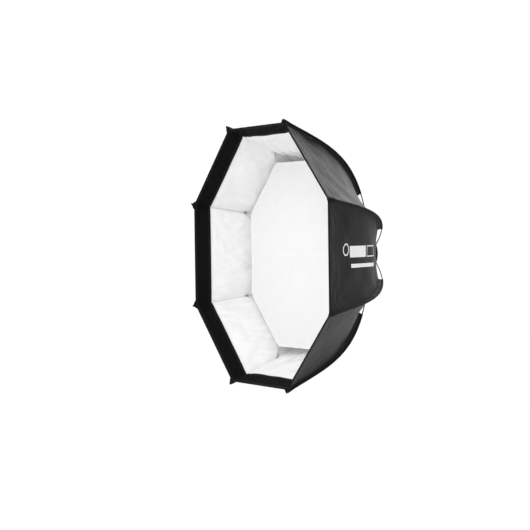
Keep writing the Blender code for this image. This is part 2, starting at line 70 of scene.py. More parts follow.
POCKET_END = 0.0060  # half the width of its back end
POCKET_PROUD = 0.0007  # its skirt, off the panel
POCKET_SUNK = 0.0002  # its underside, into the panel
SKIRT_CURVE = 2.6  # above 1, the skirt hugs the panel and rises steeply to the crown
POINT = 0.0013  # half the width of its nose
LIP_WIDTH = 0.064  # how far the hook-and-loop band reaches behind the rim plane
DIFFUSER_DEPTH = 0.212  # behind the rim plane
DIFFUSER_SIDE_R = 0.407  # centre to the diffuser's level and upright sides
DIFFUSER_DIAGONAL_R = 0.420  # the same for its sloping sides
GAP = 0.0003  # between pieces that touch
JOURNAL_R = 0.0575
BARREL_R = 0.0485
BARREL_WALL = 0.004
SOCKET_FLOOR = 0.004
RING_LOW, RING_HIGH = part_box("speed_ring")
RING_R = RING_HIGH.z
RING_FRONT_Y, RING_REAR_Y = RING_LOW.y, RING_HIGH.y
RING_MID_Y = (RING_FRONT_Y + RING_REAR_Y) / 2
RING_BORE_R = JOURNAL_R + GAP
SOCKET_DEPTH = (RING_R - RING_BORE_R - SOCKET_FLOOR) / math.cos(ROD_RING_ANGLE)
PITCH = math.tau / SIDES
MITRE = math.cos(PITCH / 2)
SLOPE = math.tan(PITCH / 2)
PANELS = range(SIDES)
SHARP_ANGLE = math.radians(38.0)  # an edge that bends more than this is drawn sharp

# ---- Cloth ----
PANEL_COLUMNS = 48
PANEL_ROWS = 112
SHELL_CLOTH = 0.0006
LINING_CLOTH = 0.0004
LINING_GAP = 0.0010  # between the nylon and the lining, where they lie flat
LINING_FOLD = 0.0034  # height of the lining's folds
LINING_FRONT_INSET = 0.0015  # the lining's edges lie this far inside the nylon's
LINING_REAR_INSET = 0.0005
SAG = 0.013  # how far a panel's middle hangs in between its ribs
SEAM_PULL = 0.0035  # how far the cloth rises to its seams
SEAM_REACH = 0.014  # over this distance beside the seam
SAG_FULLNESS = 0.8  # below 1, the sag spreads towards the panel's ends
RIM_FADE = 0.014  # folds die out this near the rim, the rear edge and the seams
REAR_FADE = 0.020
SEAM_FADE = 0.006
BINDING_WIDTH = 0.009  # leg of the rim's binding inside the band
BINDING_OUTER_WIDTH = 0.0035  # its leg outside the shell
BINDING_AHEAD = 0.003  # its fold, ahead of the rim
BINDING_PROUD = 0.0008  # its legs, off the shell and off the band
TAPE = 0.0006  # thickness of the tape
STITCH_LINE = 0.050  # behind the rim, where the lip is stitched through the shell
STITCH_DEPTH = 0.0013
RIM_FOLDS = (0.082, 0.108, 0.150)  # behind the rim
RIM_FOLD_BREADTH = 0.011
CORNER_FOLD = 0.0021  # height of the folds that fan out from the rim's corners
CORNER_CORE = 0.03  # they grow over this distance from the corner
CORNER_REACH = 0.15  # and die out over this one
SEAM_GATHER = 0.021  # pitch of the gathers beside a seam
STITCH_GATHER = 0.024  # pitch of the gathers along the line of stitches
SLEEVE_CLOTH = 0.0010
SLEEVE_SWAY = 0.0006  # how far the fin between the rod and the seam waves
LIP_WALL = 0.0015
LIP_INWARD = 0.0034  # the lip's outer face, inside the shell's outer face
SEED = 41
LINING_SEED, SLEEVE_SEED, DIFFUSER_SEED = 100, 200, 300  # added to the seed, so that their folds differ
SIDE_HOLLOW = 0.0018  # how far the middle of each side of the diffuser lies in from the straight line
UV_STEP = 0.5  # from one panel's weave to the next, in texture metres
UV_HALF = 0.23  # from a panel's middle to its seam, in texture metres

# ---- Print on panel 0 ----
PRINT_ICON = (0.134, 0.027)  # its octagon's middle: behind the rim, and above the panel's middle
PRINT_ICON_R = 0.027
PRINT_LINE = 0.006  # breadth of the octagon's line
PRINT_FRAME_LINE = 0.0045
PRINT_FRAME = (0.326, 0.425, -0.006, 0.048)  # from and to behind the rim, base, height
PRINT_BARS = ((0.168, 0.312, -0.006, 0.048), (0.172, 0.430, -0.049, 0.016))  # the same
PRINT_LIFT = 0.0004  # above the nylon


# ---- Rib curve ----
def unit(v):
    return v / np.linalg.norm(v, axis=-1, keepdims=True)


REACH = np.array((math.cos(ROD_RING_ANGLE), -math.sin(ROD_RING_ANGLE)))
LEAN = np.array((-math.sin(ROD_FRONT_ANGLE), math.cos(ROD_FRONT_ANGLE)))
TIP_OUT = np.array((LEAN[1], -LEAN[0]))
ROD_TIP = np.array((RIM_CORNER_R, -RIM_TO_SEAT)) + STANDOFF_FRONT * TIP_OUT - ROD_AHEAD_OF_RIM * LEAN
ROD_ROOT = np.array((RING_R, RING_MID_Y)) - SOCKET_DEPTH * REACH
CHORD = float(np.linalg.norm(ROD_TIP - ROD_ROOT))
HANDLES = (
    ROD_TIP,
    ROD_TIP + ROD_FRONT_FULLNESS * CHORD * LEAN,
    ROD_ROOT + ROD_RING_FULLNESS * CHORD * REACH,
    ROD_ROOT,
)
TABLE_T = np.linspace(0.0, 1.0, 4001)


def rod_curve(t):
    """Points on the rod's centre line, from its tip at 0 to the bottom of its socket at 1."""
    t = np.asarray(t, float)[..., None]
    u = 1.0 - t
    a, b, c, d = HANDLES
    return u**3 * a + 3 * u * u * t * b + 3 * u * t * t * c + t**3 * d


def square_to(curve, t, step=1e-4):
    """Unit vectors in the profile's plane, square to the curve and away from the axis."""
    along = unit(curve(t + step) - curve(t - step))
    return np.stack((along[..., 1], -along[..., 0]), -1)


def t_where(values, target):
    """The parameter at which values, worked out along TABLE_T, reach the target."""
    order = np.argsort(values)
    return float(np.interp(target, values[order], TABLE_T[order]))


def lengths(points):
    """Distance along a row of points, from its start."""
    return np.concatenate(([0.0], np.cumsum(np.linalg.norm(np.diff(points, axis=0), axis=1))))


ROD_LENGTHS = lengths(rod_curve(TABLE_T))
SLEEVE_T0 = t_where(ROD_LENGTHS, POCKET_LENGTH + GAP)
SLEEVE_T1 = t_where(rod_curve(TABLE_T)[:, 0], SLEEVE_END_R)


def smoothstep(share):
    share = np.clip(share, 0.0, 1.0)
    return share * share * (3.0 - 2.0 * share)


def standoff(t):
    share = smoothstep((np.asarray(t, float) - SLEEVE_T0) / (SLEEVE_T1 - SLEEVE_T0))
    return STANDOFF_FRONT + (STANDOFF_REAR - STANDOFF_FRONT) * share


def seam(t):
    """Outside of the shell in the rib's plane, under the rod at t."""
    return rod_curve(t) - standoff(t)[..., None] * square_to(rod_curve, t)


def panel_line(t):
    """Middle of a flat panel, as (distance from the axis, y)."""
    return seam(t) * np.array((MITRE, 1.0))


SEAM_TABLE = seam(TABLE_T)
RIM_T = t_where(SEAM_TABLE[:, 1], -RIM_TO_SEAT)
REAR_T = t_where(SEAM_TABLE[:, 0], REAR_OPENING_R)
DIFFUSER_T = t_where(SEAM_TABLE[:, 1], DIFFUSER_DEPTH - RIM_TO_SEAT)
MOUTH_T = t_where(rod_curve(TABLE_T)[:, 0], RING_R)
PANEL_LENGTHS = lengths(panel_line(TABLE_T))
PANEL_LENGTHS = PANEL_LENGTHS - np.interp(RIM_T, TABLE_T, PANEL_LENGTHS)
PANEL_LENGTH = float(np.interp(REAR_T, TABLE_T, PANEL_LENGTHS))


def t_at(s):
    """Curve parameter at a distance s behind the rim, along a panel."""
    return np.interp(s, PANEL_LENGTHS, TABLE_T)


LIP_S = float(np.interp(t_where(SEAM_TABLE[:, 1], LIP_WIDTH - RIM_TO_SEAT), TABLE_T, PANEL_LENGTHS))


def turn(points, angle):
    """Turns (radius, y, across) points about the axis, from +X towards +Z."""
    r, y, w = points[..., 0], points[..., 1], points[..., 2]
    c, s = math.cos(angle), math.sin(angle)
    return np.stack((r * c - w * s, y, r * s + w * c), -1)


# ---- Folds of the shell ----
def ripple(rng, u, v, size_u, size_v, count=10):
    """A smooth random field of about unit height. The sizes are its shortest waves along u and v."""
    total = 0.0
    for _ in range(count):
        step_u, step_v = rng.uniform(-1.0, 1.0, 2) / (size_u, size_v)
        total = total + np.cos(math.tau * (step_u * u + step_v * v) + rng.uniform(0.0, math.tau))
    return total / math.sqrt(count / 2)


def half_width(s):
    """Half a panel's width, at s behind the rim."""
    return panel_line(t_at(s))[..., 0] * SLOPE


def sag(s, x):
    """How far a panel hangs in from the flat, at s behind the rim and share x across, from -1 to 1."""
    along = np.sin(math.pi * np.clip(s / PANEL_LENGTH, 0.0, 1.0)) ** SAG_FULLNESS
    to_seam = (1.0 - np.abs(x)) * half_width(s)
    behind_rim = smoothstep((s - 0.01) / 0.08)
    pull = SEAM_PULL * (1.0 - np.exp(-to_seam / SEAM_REACH)) * behind_rim
    return SAG * along * (1.0 - x * x) + pull


def away_from(distance, reach):
    """0 at an edge, and 1 further from it than the reach."""
    return 1.0 - np.exp(-((distance / reach) ** 2))


def bell(distance, reach):
    """1 at a line, and 0 further from it than the reach."""
    return np.exp(-((distance / reach) ** 2))


def fade_at_edges(s, x):
    """0 at the seams and at the rim, and 1 away from them, so that neighbouring panels meet."""
    to_seam = (1.0 - np.abs(x)) * half_width(s)
    ends = away_from(s, RIM_FADE) * away_from(PANEL_LENGTH - s, REAR_FADE)
    return away_from(to_seam, SEAM_FADE) * ends


def rim_folds(rng, s, x):
    """Soft folds that run beside the rim, bowed towards the middle of the panel."""
    total = 0.0
    for start in RIM_FOLDS:
        middle, reach = rng.uniform(-0.35, 0.35), rng.uniform(0.35, 0.7)
        bow = rng.uniform(-0.02, 0.035)
        line = start + rng.uniform(-0.008, 0.008) + bow * (x - middle) ** 2
        height = rng.uniform(0.0006, 0.0012)
        total = total + height * bell(s - line, RIM_FOLD_BREADTH) * bell(x - middle, reach)
    return total


def corner_folds(rng, s, x):
    """Folds that fan out from the two corners of the rim, where the pockets pull."""
    total = 0.0
    for side in (-1.0, 1.0):
        beside = (1.0 - side * x) * half_width(s)
        far = np.hypot(beside, s)
        turned = np.arctan2(np.maximum(s, 0.0), beside)
        fan = np.cos(rng.uniform(11.0, 15.0) * turned + rng.uniform(0.0, math.tau))
        total = total + CORNER_FOLD * fan * far / (far + CORNER_CORE) * np.exp(-far / CORNER_REACH)
    return total


def seam_puckers(rng, s, x):
    """Short gathers beside the rib seams and the line of stitches behind the rim."""
    across = x * half_width(s)
    to_seam = (1.0 - np.abs(x)) * half_width(s)
    seam_drift = 1.7 * np.sign(x) + 1.5 * np.sin(s / 0.05 + rng.uniform(0.0, math.tau))
    seam_gather = np.sin(math.tau * s / SEAM_GATHER + seam_drift)
    stitch_drift = 1.3 * np.sin(across / 0.06 + rng.uniform(0.0, math.tau))
    stitch_gather = np.sin(math.tau * across / STITCH_GATHER + stitch_drift)
    beside_seam = 0.0006 * seam_gather * np.exp(-to_seam / 0.016)
    return beside_seam + 0.00045 * stitch_gather * np.exp(-np.abs(s - STITCH_LINE) / 0.012)


def shell_folds(k, s, x):
    """Height of panel k's folds, out from its sagging surface."""
    rng = np.random.default_rng(SEED + k)
    across = x * half_width(s)
    broad = 0.0012 * ripple(rng, across, s, 0.14, 0.12)
    fine = 0.0002 * ripple(rng, across + s, s - across, 0.05, 0.09)
    folds = broad + fine + rim_folds(rng, s, x) + corner_folds(rng, s, x) + seam_puckers(rng, s, x)
    groove = STITCH_DEPTH * bell(s - STITCH_LINE, 0.0035)
    ridge = 0.6 * STITCH_DEPTH * bell(s - STITCH_LINE - 0.010, 0.006)
    return (folds - groove + ridge) * fade_at_edges(s, x)


def lining_folds(k, s, x):
    """How much further in than the nylon the lining hangs."""
    rng = np.random.default_rng(SEED + LINING_SEED + k)
    across = x * half_width(s)
    broad = 1.0 + 0.55 * ripple(rng, across, s, 0.20, 0.13)
    slanted = 0.22 * ripple(rng, across - s, s + across, 0.06, 0.14)
    fan = 0.0
    for side in (-1.0, 1.0):
        beside = (1.0 - side * x) * half_width(s)
        far = np.hypot(beside, s - LIP_S)
        turned = np.arctan2(np.maximum(s - LIP_S, 0.0), beside)
        fan = fan + np.cos(rng.uniform(9.0, 13.0) * turned) * np.exp(-far / 0.16) * far / (far + 0.05)
    sharp = 0.6 * (1.0 - np.abs(ripple(rng, across + 0.6 * s, s - 0.4 * across, 0.07, 0.22, 6)))
    fine = 0.35 * ripple(rng, across - 0.5 * s, s + 0.5 * across, 0.030, 0.12)
    height = np.maximum(broad + slanted + 0.45 * fan + sharp + fine, 0.0)
    return LINING_FOLD * height * fade_at_edges(s - LIP_S, x) * (s > LIP_S)


def panel_point(k, s, x, inward=0.0, lining=False):
    """Points of panel k, at s behind the rim and share x across, moved inward square to the panel."""
    s, x = np.broadcast_arrays(np.asarray(s, float), np.asarray(x, float))
    t = t_at(s)
    depth = inward + sag(s, x) - shell_folds(k, s, x)
    if lining:
        depth = depth + lining_folds(k, s, x)
    line = panel_line(t) - depth[..., None] * square_to(panel_line, t, 1e-3)
    across = x * line[..., 0] * SLOPE
    return turn(np.stack((line[..., 0], line[..., 1], across), -1), k * PITCH)


# ---- Mesh helpers ----
def add_object(name, mesh, material, replaced=(), body="softbox"):
    """A piece that rides on a body, and replaces the CAD nodes that it shows."""
    made = bpy.data.objects.new(name, mesh)
    bpy.context.scene.collection.objects.link(made)
    mesh.materials.append(material)
    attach(made, body)
    if replaced:
        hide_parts(*replaced)
    return made


def add_tube(name, points, material, replaced=(), body="softbox"):
    """A piece with closed ends, from rings of points."""
    mesh = grid_mesh(name, points, wrap=True, caps=True)
    return add_object(name, mesh, material, replaced, body)


def add_hoop(name, points, material, replaced=(), body="softbox"):
    """A piece whose section runs all the way round, from a closed grid of points."""
    mesh = grid_mesh(name, points, wrap=True, loop=True)
    return add_object(name, mesh, material, replaced, body)


def grid_mesh(name, points, uv=None, wrap=False, caps=False, loop=False):
    """A mesh through a (rows, columns, 3) grid. wrap joins the last column to the first, loop the last
    row to the first, and caps closes the first and last rows. A closed mesh has its faces pointing out."""
    rows, columns = points.shape[:2]
    index = np.arange(rows * columns).reshape(rows, columns)
    near = index if loop else index[:-1]
    far = np.roll(index, -1, 0) if loop else index[1:]
    if wrap:
        corners = (near, np.roll(near, -1, 1), np.roll(far, -1, 1), far)
    else:
        corners = (near[:, :-1], near[:, 1:], far[:, 1:], far[:, :-1])
    faces = np.stack(corners, -1).reshape(-1, 4).tolist()
    if caps:
        faces += [index[0].tolist()[::-1], index[-1].tolist()]
    mesh = bpy.data.meshes.new(name)
    mesh.from_pydata(points.reshape(-1, 3).tolist(), [], faces)
    if uv is None:
        uv = measured_uv(points, wrap, loop)
    layer = mesh.uv_layers.new(name="cloth")
    corners = np.stack((uv[:-1, :-1], uv[:-1, 1:], uv[1:, 1:], uv[1:, :-1]), 2).reshape(-1, 2)
    values = np.zeros((len(mesh.loops), 2))
    values[: len(corners)] = corners
    layer.data.foreach_set("uv", values.astype(np.float32).ravel())
    if wrap and (caps or loop):
        face_out(mesh)
    mesh.shade_smooth()
    mesh.set_sharp_from_angle(angle=SHARP_ANGLE)
    return mesh


def measured_uv(points, wrap, loop):
    """Texture coordinates in metres, along the grid's middle row and column."""
    row, column = points[len(points) // 2], points[:, points.shape[1] // 2]
    across = lengths(np.vstack((row, row[:1])) if wrap else row)
    along = lengths(np.vstack((column, column[:1])) if loop else column)
    return np.stack(np.meshgrid(across, along), -1)


def face_out(mesh):
    """Turns the faces of a closed mesh outwards."""
    bm = bmesh.new()
    bm.from_mesh(mesh)
    if bm.calc_volume(signed=True) < 0.0:
        bmesh.ops.reverse_faces(bm, faces=bm.faces)
    bm.to_mesh(mesh)
    bm.free()


def face_away(mesh):
    """Turns the faces of an open sheet away from the axis."""
    away = sum(face.normal.x * face.center.x + face.normal.z * face.center.z for face in mesh.polygons)
    if away < 0.0:
        mesh.flip_normals()


def solidify(obj, thickness):
    """Gives a sheet its thickness, inward from its faces."""
    wall = obj.modifiers.new("thickness", "SOLIDIFY")
    wall.thickness = thickness
    wall.offset = -1.0
    wall.use_even_offset = False


def panel_columns():
    """Shares across a panel, closer together near its seams."""
    v = np.linspace(-1.0, 1.0, PANEL_COLUMNS + 1)
    return 0.4 * v + 0.6 * np.sin(v * math.pi / 2)


def shell_grid(s, columns, inward=0.0, lining=False):
    """A ring of panels as one (rows, columns, 3) grid, without the last seam, which is the first."""
    blocks = [panel_point(k, s[:, None], columns[None, :-1], inward, lining) for k in PANELS]
    return np.concatenate(blocks, 1)


def shell_uv(s, columns):
    """Metres across and along each panel. A seam starts the next panel's pattern."""
    panels = [k * UV_STEP + columns[:-1] * UV_HALF for k in PANELS]
    last_seam = [(SIDES - 1) * UV_STEP + UV_HALF]
    return np.stack(np.meshgrid(np.concatenate(panels + [last_seam]), s), -1)


# ---- Material helpers ----
def shader_of(name, colour, roughness, metallic=0.0, specular=0.5):
    """A plain material, with its node tree and its shader node."""
    made = bpy.data.materials.new(name)
    made.use_nodes = True
    tree = made.node_tree
    shader = tree.nodes["Principled BSDF"]
    shader.inputs["Base Color"].default_value = (*colour, 1.0)
    shader.inputs["Roughness"].default_value = roughness
    shader.inputs["Metallic"].default_value = metallic
    shader.inputs["Specular IOR Level"].default_value = specular
    made.diffuse_color = (*colour, 1.0)
    return made, tree, shader


def add_node(tree, kind, inputs=(), **settings):
    """A node with its settings, and its inputs given as (socket, value or output) pairs."""
    made = tree.nodes.new(kind)
    for key, value in settings.items():
        setattr(made, key, value)
    for socket, value in inputs:
        if isinstance(value, bpy.types.NodeSocket):
            tree.links.new(value, made.inputs[socket])
        else:
            made.inputs[socket].default_value = value
    return made


def scaled(tree, value, low, high):
    """A 0 to 1 value spread from low to high."""
    inputs = [("Value", value), ("To Min", low), ("To Max", high)]
    return add_node(tree, "ShaderNodeMapRange", inputs).outputs[0]


def noise(tree, place, scale, detail):
    """A noise value. A higher scale makes it finer."""
    inputs = [("Vector", place), ("Scale", scale), ("Detail", detail)]
    return add_node(tree, "ShaderNodeTexNoise", inputs).outputs["Fac"]


def mottled(tree, shader, colour, amount, size):
    """Uneven colour and roughness, in patches of about the size."""
    place = add_node(tree, "ShaderNodeTexCoord").outputs["Object"]
    value = noise(tree, place, 1.0 / size, 4.0)
    dark = [c * (1.0 - amount) for c in colour] + [1.0]
    light = [min(c * (1.0 + amount), 1.0) for c in colour] + [1.0]
    ramp = add_node(tree, "ShaderNodeValToRGB", [("Fac", value)])
    ramp.color_ramp.elements[0].position, ramp.color_ramp.elements[1].position = 0.3, 0.7
    ramp.color_ramp.elements[0].color, ramp.color_ramp.elements[1].color = dark, light
    tree.links.new(ramp.outputs["Color"], shader.inputs["Base Color"])
    rough = shader.inputs["Roughness"].default_value
    tree.links.new(scaled(tree, value, rough - 0.07, min(rough + 0.07, 1.0)), shader.inputs["Roughness"])
    return place


def wave(tree, place, direction, pitch):
    """Ridges a pitch apart, square to the direction."""
    scale = math.tau / 20.0 / pitch  # a wave texture repeats 20 times over a turn at scale 1
    inputs = [("Vector", place), ("Scale", scale)]
    return add_node(tree, "ShaderNodeTexWave", inputs, bands_direction=direction).outputs["Fac"]


def bump(tree, shader, height, depth, before=None):
    """Relief from a height value, on top of the relief before it."""
    inputs = [("Height", height), ("Distance", depth), ("Strength", 1.0)]
    if before:
        inputs.append(("Normal", before))
    made = add_node(tree, "ShaderNodeBump", inputs).outputs["Normal"]
    tree.links.new(made, shader.inputs["Normal"])
    return made


def cloth(name, colour, roughness, pitch, relief, specular=0.3, amount=0.12, crinkle=0.0, rib=False):
    """Woven cloth: threads a pitch apart, uneven colour, and fine crinkles between the modelled folds."""
    made, tree, shader = shader_of(name, colour, roughness, specular=specular)
    place = mottled(tree, shader, colour, amount, 0.05)
    normal = None
    if crinkle:
        normal = bump(tree, shader, noise(tree, place, 26.0, 3.0), crinkle)
    uv = add_node(tree, "ShaderNodeUVMap", uv_map="cloth").outputs["UV"]
    warp, weft = wave(tree, uv, "X", pitch), wave(tree, uv, "Y", pitch * (2.2 if rib else 1.0))
    threads = add_node(tree, "ShaderNodeMath", [(0, warp), (1, weft)], operation="MAXIMUM").outputs[0]
    bump(tree, shader, threads, relief, normal)
    return made


def pile(name, colour):
    """The looped pile of a hook-and-loop band."""
    made, tree, shader = shader_of(name, colour, 0.95, specular=0.08)
    place = mottled(tree, shader, colour, 0.3, 0.006)
    loops = add_node(tree, "ShaderNodeTexVoronoi", [("Vector", place), ("Scale", 900.0)])
    bump(tree, shader, loops.outputs["Distance"], 0.0006)
    return made


def metal(name, colour, roughness, grain):
    """Turned or drawn metal with a fine grain."""
    made, tree, shader = shader_of(name, colour, roughness, 1.0)
    place = mottled(tree, shader, colour, 0.08, 0.012)
    bump(tree, shader, noise(tree, place, 1800.0, 2.0), grain)
    return made


def moulded(name, colour, roughness, specular=0.4):
    """Moulded plastic or rubber with a fine spark-eroded texture."""
    made, tree, shader = shader_of(name, colour, roughness, specular=specular)
    place = mottled(tree, shader, colour, 0.12, 0.02)
    bump(tree, shader, noise(tree, place, 1400.0, 2.0), 0.00006)
    return made


# ---- Shell ----
def build_shell():
    """The nylon outside and the light lining inside, each one sheet all the way round."""
    columns = panel_columns()
    panels = [f"outer_panel_{k + 1}" for k in PANELS]
    s = np.linspace(0.0, PANEL_LENGTH, PANEL_ROWS)
    outer = grid_mesh("canopy_nylon", shell_grid(s, columns), shell_uv(s, columns), wrap=True)
    face_away(outer)
    nylon = add_object("canopy_nylon", outer, NYLON, panels)
    solidify(nylon, SHELL_CLOTH)
    inner_s = np.linspace(LINING_FRONT_INSET, PANEL_LENGTH - LINING_REAR_INSET, PANEL_ROWS)
    inner_grid = shell_grid(inner_s, columns, SHELL_CLOTH + LINING_GAP, True)
    inner = grid_mesh("canopy_lining", inner_grid, shell_uv(inner_s, columns), wrap=True)
    face_away(inner)
    lining = add_object("canopy_lining", inner, LINING)
    solidify(lining, LINING_CLOTH)
    for sheet in (nylon, lining):
        width = SIDES * 2 * float(half_width(0.0))
        area = SIDES * float(np.trapz(2 * half_width(s), s))


def build_lining_seam(k):
    """The narrow bound seam between two panels of the lining, along rib k."""
    seen = np.linspace(LIP_S + 0.001, 0.24, 60)  # ahead of the diffuser, where it shows
    hidden = np.linspace(0.26, PANEL_LENGTH - 0.004, 30)
    s = np.concatenate((seen, hidden))
    inward = SHELL_CLOTH + LINING_GAP - LINING_CLOTH
    half, shoulder, height = 0.0016, 0.0012, 0.0017
    section = (
        (-half, 0.0),
        (-shoulder, shoulder),
        (0.0, height),
        (shoulder, shoulder),
        (half, 0.0),
        (0.0, -LINING_CLOTH),
    )
    line = panel_line(t_at(s))
    foot = np.stack((line[:, 0] / MITRE, line[:, 1]), -1)
    inside = square_to(seam, t_at(s), 1e-3)
    rows = []
    for place, normal in zip(foot, inside):
        rows.append([(*(place - (inward + depth) / MITRE * normal), w) for w, depth in section])
    points = turn(np.array(rows), PITCH * (k + 0.5))
    add_tube(f"lining_seam_{k + 1}", points, SEAM_TAPE)


def edge_ring(section, columns):
    """A closed grid that follows the panels all the way round. The section is (s, inward) points."""
    rows = []
    for s, inward in section:
        across = columns[:-1]
        rows.append(np.concatenate([panel_point(k, np.full(len(across), s), across, inward) for k in PANELS]))
    return np.array(rows)


def rounded_section(low, high, inner, outer, flat_steps=2):
    """Closed (s, inward) section of a flat tape with a round edge at each end. Its faces are cut into flat
    steps, so that they follow the shell's folds."""
    middle, radius = (inner + outer) / 2, (outer - inner) / 2
    angles = np.linspace(-math.pi / 2, math.pi / 2, 5)
    between = np.linspace(low + radius, high - radius, flat_steps + 1)[1:-1]
    front = [(low + radius - radius * math.cos(a), middle + radius * math.sin(a)) for a in angles]
    back = [(high - radius + radius * math.cos(a), middle - radius * math.sin(a)) for a in angles]
    return front + [(s, outer) for s in between] + back + [(s, inner) for s in between[::-1]]


def tape_section(outside, inside):
    """Closed (s, inward) section of a tape folded round the rim, between two depths inward from the shell."""
    radius = (inside - outside) / 2
    middle = (outside + inside) / 2
    round_rim = np.linspace(-math.pi / 2, math.pi / 2, 9)

    def fold(r):
        return [(radius - BINDING_AHEAD - r * math.cos(a), middle + r * math.sin(a)) for a in round_rim]

    inner_leg = [(BINDING_WIDTH, inside), (BINDING_WIDTH, inside - TAPE)]
    outer_leg = [(BINDING_OUTER_WIDTH, outside + TAPE), (BINDING_OUTER_WIDTH, outside)]
    return outer_leg[1:] + fold(radius) + inner_leg + fold(radius - TAPE)[::-1] + outer_leg[:1]


def build_rim():
    """The hook-and-loop band inside the rim, and the tapes that bind its edge, the band's back and the
    rear edge of the shell."""
    columns = panel_columns()
    inside = LIP_INWARD + LIP_WALL
    band = rounded_section(0.0, LIP_S, LIP_INWARD, inside, 14)
    add_hoop("front_lip_band", edge_ring(band, columns), PILE, ["front_lip"])
    tape = tape_section(-BINDING_PROUD, inside + BINDING_PROUD)
    add_hoop("rim_binding", edge_ring(tape, columns), WEBBING)
    back = rounded_section(LIP_S - 0.010, LIP_S + 0.002, inside - 0.0004, inside + 0.0007)
    add_hoop("lip_back_tape", edge_ring(back, columns), WEBBING)
    end = PANEL_LENGTH
    section = rounded_section(end - 0.006, end + 0.012, -0.0012, 0.0034)
    rear = [(2 * end - s, inward) for s, inward in section]
    add_hoop("rear_edge_binding", edge_ring(rear, columns), WEBBING, ["rear_binding"])


# ---- Ribs ----
def rib_rows(t, outline, angle):
    """A section of (out, across) points carried along the rod. The outline may differ from row to row."""
    outline = np.broadcast_to(outline, (len(t), *np.shape(outline)[-2:]))
    centre, out = rod_curve(t)[:, None], square_to(rod_curve, t)[:, None]
    flat = centre + outline[..., :1] * out
    return turn(np.concatenate((flat, outline[..., 1:]), -1), angle)


def circle(radius, sides):
    angles = np.linspace(0.0, math.tau, sides + 1)[:-1]
    return np.stack((radius * np.cos(angles), radius * np.sin(angles)), -1)


def sleeve_outline(t, rng):
    """Sections of the sleeve: a channel round the rod, and a sewn fin down to the seam."""
    wrap = np.radians(np.linspace(-138.0, 138.0, 15))
    radius = ROD_R + GAP + SLEEVE_CLOTH
    loop = np.stack((radius * np.cos(wrap), radius * np.sin(wrap)), -1)
    foot = -standoff(t)
    travelled = np.interp(t, TABLE_T, ROD_LENGTHS)
    sway = SLEEVE_SWAY * ripple(rng, travelled, 0.0 * travelled, 0.03, 1.0)
    rows = []
    for base, shift in zip(foot, sway):
        hem = [(base - 0.0009, 0.0030), (base + 0.0006, 0.0016)]
        stem = hem + [(base * 0.55, 0.0009), (-radius * 0.98, 0.0010)]
        left = [(q, -w) for q, w in stem]
        section = np.array(left + loop.tolist() + stem[::-1])
        middle = np.clip((section[:, 0] - base) / (-radius - base), 0.0, 1.0)
        section[:, 1] += shift * np.sin(math.pi * middle)
        rows.append(section)
    return np.array(rows)


def build_sleeve(k):
    rng = np.random.default_rng(SEED + SLEEVE_SEED + k)
    t = t_along_rod(SLEEVE_T0, SLEEVE_T1, 110)
    points = rib_rows(t, sleeve_outline(t, rng), PITCH * (k + 0.5))
    add_tube(f"sleeve_{k + 1}", points, SLEEVE, [f"rod_sleeve_{k + 1}"])


def t_along_rod(low, high, count):
    """Parameters evenly spaced along the rod."""
    ends = np.interp((low, high), TABLE_T, ROD_LENGTHS)
    return np.interp(np.linspace(*ends, count), ROD_LENGTHS, TABLE_T)


def build_rod(k):
    t = t_along_rod(0.0, 1.0, 120)
    points = rib_rows(t, circle(ROD_R, 14), PITCH * (k + 0.5))
    add_tube(f"spring_rod_{k + 1}", points, SPRING_STEEL, [f"rod_{k + 1}"])


def pocket_rows():
    """Sections of a corner pocket, from its pointed nose back to the sleeve. Its skirt spreads onto the
    panels on each side, so that the rim sweeps up to the point."""
    forward = unit(rod_curve(0.0) - rod_curve(1e-3))
    out = square_to(rod_curve, np.array(1e-4))
    base = -STANDOFF_FRONT
    fall = SLOPE * math.cos(ROD_FRONT_ANGLE)  # drop of a panel below the seam, over the distance across
    rows = []
    for share in np.linspace(0.0, 1.0, 30):
        back = -POCKET_NOSE + (POCKET_NOSE + POCKET_LENGTH) * share**1.3
        t = float(np.interp(max(back, 0.0), ROD_LENGTHS, TABLE_T))
        centre = rod_curve(t) if back > 0.0 else rod_curve(0.0) - back * forward
        normal = square_to(rod_curve, np.array(t)) if back > 0.0 else out
        opened = float(smoothstep((back + POCKET_NOSE) / 0.013))
        spread = float(smoothstep((back + POCKET_NOSE) / (POCKET_NOSE + ROD_AHEAD_OF_RIM)))
        close = float(smoothstep((back - ROD_AHEAD_OF_RIM - 0.002) / 0.026))
        skirt = POINT + (POCKET_SKIRT * spread - POINT) * (1.0 - close) + POCKET_END * close
        top = 0.0030 + 0.0022 * opened - 0.0010 * close
        neck = min(0.0010 + 0.0036 * opened, skirt * 0.8)
        arch = np.radians(np.linspace(-88.0, 88.0, 11))
        crown = [(top * math.cos(a), neck * math.sin(a)) for a in arch]
        side = []
        for u in np.linspace(0.15, 1.0, 7):
            w = neck + (skirt - neck) * u
            panel = base - fall * w + POCKET_PROUD
            side.append((panel * (1.0 - (1.0 - u) ** SKIRT_CURVE), w))
        left = [(q, -w) for q, w in side[::-1]]
        edge, sole = base - fall * skirt - POCKET_SUNK, base - POCKET_SUNK
        under = [(edge, skirt * 0.98), (sole, 0.0), (edge, -skirt * 0.98)]
        rows.append([(*(centre + q * normal), w) for q, w in left + crown + side + under])
    return np.array(rows, float)


def build_pocket(k):
    points = turn(pocket_rows(), PITCH * (k + 0.5))
    add_tube(f"corner_ear_{k + 1}", points, WEBBING, [f"corner_pocket_{k + 1}"])


# ---- Diffuser ----
DIFFUSER_Y = DIFFUSER_DEPTH - RIM_TO_SEAT
DIFFUSER_CLOTH = 0.0004
DIFFUSER_STEPS = 28  # along each side
HEM_WIDTH = 0.011
HEM_HALF_THICKNESS = 0.0011
FELL_HALF_WIDTH = 0.004  # of the seam across the middle


